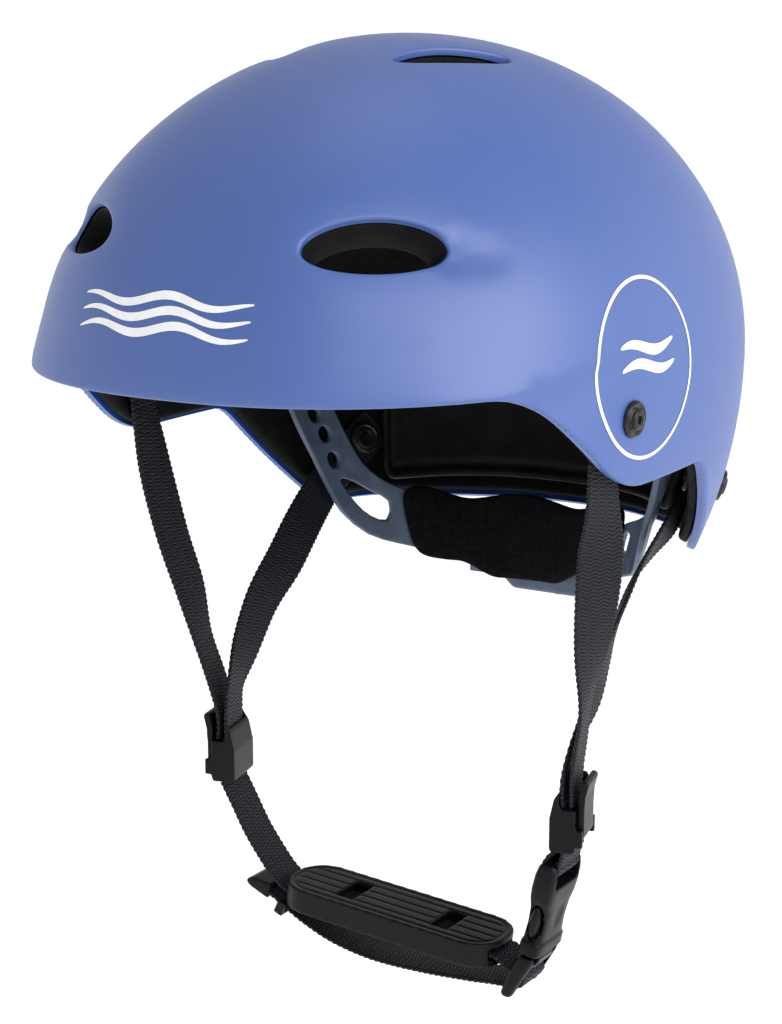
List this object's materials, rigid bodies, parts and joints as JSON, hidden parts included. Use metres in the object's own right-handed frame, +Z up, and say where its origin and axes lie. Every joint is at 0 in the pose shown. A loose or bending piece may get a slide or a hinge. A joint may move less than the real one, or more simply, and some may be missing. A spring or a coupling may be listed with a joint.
{
  "type": "water sports helmet",
  "caption": "Hard shell watersport helmet with foam liner, webbing chin strap with side-release buckle, chin pad and dial-adjusted rear cradle.",
  "frame": {"origin": "centre of the crown pad's flat underside, where the top of the head rests", "axes": "+Z up, -Y towards the brow, +X towards the wearer's left"},
  "size_m": [0.2114, 0.2923, 0.3321],
  "materials": {
    "shell_plastic": "matt blue moulded plastic",
    "liner_foam": "black closed-cell foam",
    "pad_fabric": "black brushed fabric over foam",
    "webbing": "black woven nylon webbing",
    "black_plastic": "black moulded plastic with a slight sheen",
    "cradle_plastic": "grey-blue moulded plastic",
    "chin_rubber": "black soft rubber",
    "black_metal": "black painted metal"
  },
  "bodies": {
    "helmet": {"outer_shell": "shell_plastic", "foam_liner": "liner_foam", "crown_pad": "pad_fabric", "brow_pad": "pad_fabric", "rear_pad": "pad_fabric", "side_pad_left": "pad_fabric", "side_pad_right": "pad_fabric", "front_rivet_left": "black_metal", "front_rivet_right": "black_metal", "front_washer_left": "black_metal", "front_washer_right": "black_metal", "front_strap_left": "webbing", "front_strap_right": "webbing", "rear_rivet_left": "black_metal", "rear_rivet_right": "black_metal", "rear_washer_left": "black_metal", "rear_washer_right": "black_metal", "rear_strap_left": "webbing", "rear_strap_right": "webbing", "adjuster_base_left": "black_plastic", "adjuster_base_right": "black_plastic", "cradle_peg_left": "black_plastic", "cradle_peg_right": "black_plastic", "buckle_socket": "black_plastic", "drop_strap_left": "webbing"},
    "chin_assembly": {"chin_strap": "webbing", "chin_strap_tail": "webbing", "strap_keeper": "chin_rubber", "strap_end_clip": "black_plastic", "chin_pad": "chin_rubber", "buckle_plug": "black_plastic"},
    "front_prong": {"prong_front": "black_plastic"},
    "rear_prong": {"prong_rear": "black_plastic"},
    "left_lever": {"adjuster_lever_left": "black_plastic"},
    "right_lever": {"adjuster_lever_right": "black_plastic"},
    "cradle": {"cradle_arm_left": "cradle_plastic", "cradle_arm_right": "cradle_plastic", "nape_housing": "cradle_plastic", "nape_pad": "pad_fabric"},
    "left_rack": {"rack_left": "cradle_plastic"},
    "right_rack": {"rack_right": "cradle_plastic"},
    "dial": {"fit_dial": "cradle_plastic", "fit_pinion": "cradle_plastic", "dial_screw": "black_metal"}
  },
  "joints": [
    {"name": "chin_strap_swing", "type": "hinge", "parent": "helmet", "child": "chin_assembly", "pos_m": [-0.0705, -0.0075, -0.2435], "axis": [0, 1, 0], "range_deg": [0, 70]},
    {"name": "prong_front_press", "type": "hinge", "parent": "chin_assembly", "child": "front_prong", "pos_m": [0.05983, -0.0143, -0.28458], "axis": [-0.9744, 0, 0.225], "range_deg": [0, 8], "stiffness_Nm_per_rad": 0.2},
    {"name": "prong_rear_press", "type": "hinge", "parent": "chin_assembly", "child": "rear_prong", "pos_m": [0.05983, -0.0007, -0.28458], "axis": [0.9744, 0, -0.225], "range_deg": [0, 8], "stiffness_Nm_per_rad": 0.2},
    {"name": "lever_left_open", "type": "hinge", "parent": "helmet", "child": "left_lever", "pos_m": [0.07667, -0.00637, -0.2375], "axis": [-0.225, 0.9744, 0], "range_deg": [0, 60]},
    {"name": "lever_right_open", "type": "hinge", "parent": "helmet", "child": "right_lever", "pos_m": [-0.07667, -0.00863, -0.2375], "axis": [0.225, -0.9744, 0], "range_deg": [0, 60]},
    {"name": "cradle_tilt", "type": "hinge", "parent": "helmet", "child": "cradle", "pos_m": [0, 0.05516, -0.1075], "axis": [1, 0, 0], "range_deg": [-10, 3]},
    {"name": "dial_turn", "type": "hinge", "parent": "cradle", "child": "dial", "pos_m": [0, 0.1135, -0.177], "axis": [0, 1, 0], "range_deg": [-50, 50]},
    {"name": "rack_left_slide", "type": "slide", "parent": "cradle", "child": "left_rack", "axis": [1, 0, 0], "range_m": [-0.0036, 0.0036]},
    {"name": "rack_right_slide", "type": "slide", "parent": "cradle", "child": "right_rack", "axis": [-1, 0, 0], "range_m": [-0.0036, 0.0036]}
  ],
  "couplings": [
    {"joint": "rack_left_slide", "follows": "dial_turn", "m_per_rad": 0.004},
    {"joint": "rack_right_slide", "follows": "dial_turn", "m_per_rad": 0.004}
  ]
}
